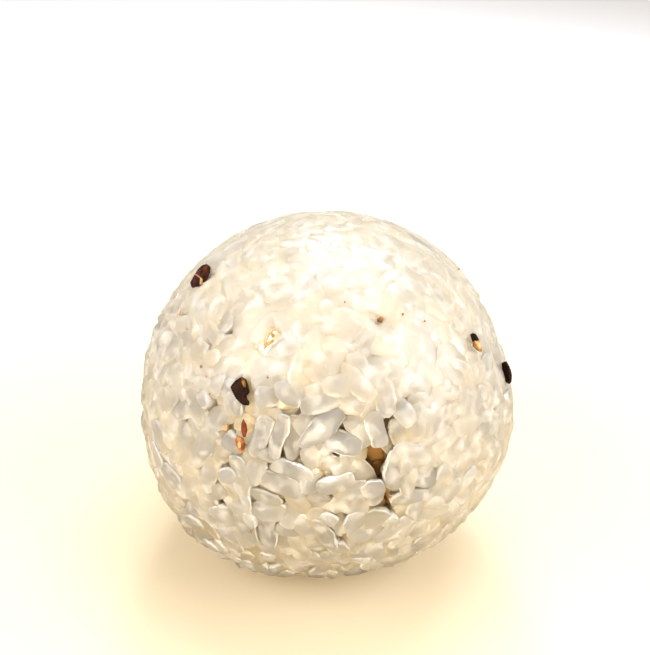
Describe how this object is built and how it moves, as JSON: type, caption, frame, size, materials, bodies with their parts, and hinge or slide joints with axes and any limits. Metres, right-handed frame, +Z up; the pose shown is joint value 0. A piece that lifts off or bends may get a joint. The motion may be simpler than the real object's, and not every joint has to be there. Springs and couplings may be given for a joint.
{
  "type": "onigiri rice ball",
  "caption": "Round hand-pressed ball of cooked short-grain rice with dark kernels of black rice in its skin, a crack at the front and a small flat spot to rest on.",
  "frame": {"origin": "middle of the flat spot that the ball rests on", "axes": "+Z up, -Y towards the front, the side with the crack, and +X to the right of someone who faces the front"},
  "size_m": [0.068, 0.0677, 0.0642],
  "materials": {
    "cooked_rice": "moist cooked short-grain white rice, warm white and slightly translucent, with a soft gloss on each grain and golden tan in the gaps",
    "dark_kernel": "cooked black rice kernels and bits of husk, dark brown to red brown with a soft gloss; the looks use it, and in the solid they are fused to the ball"
  },
  "bodies": {
    "root": {"rice_ball": "cooked_rice"}
  },
  "joints": []
}
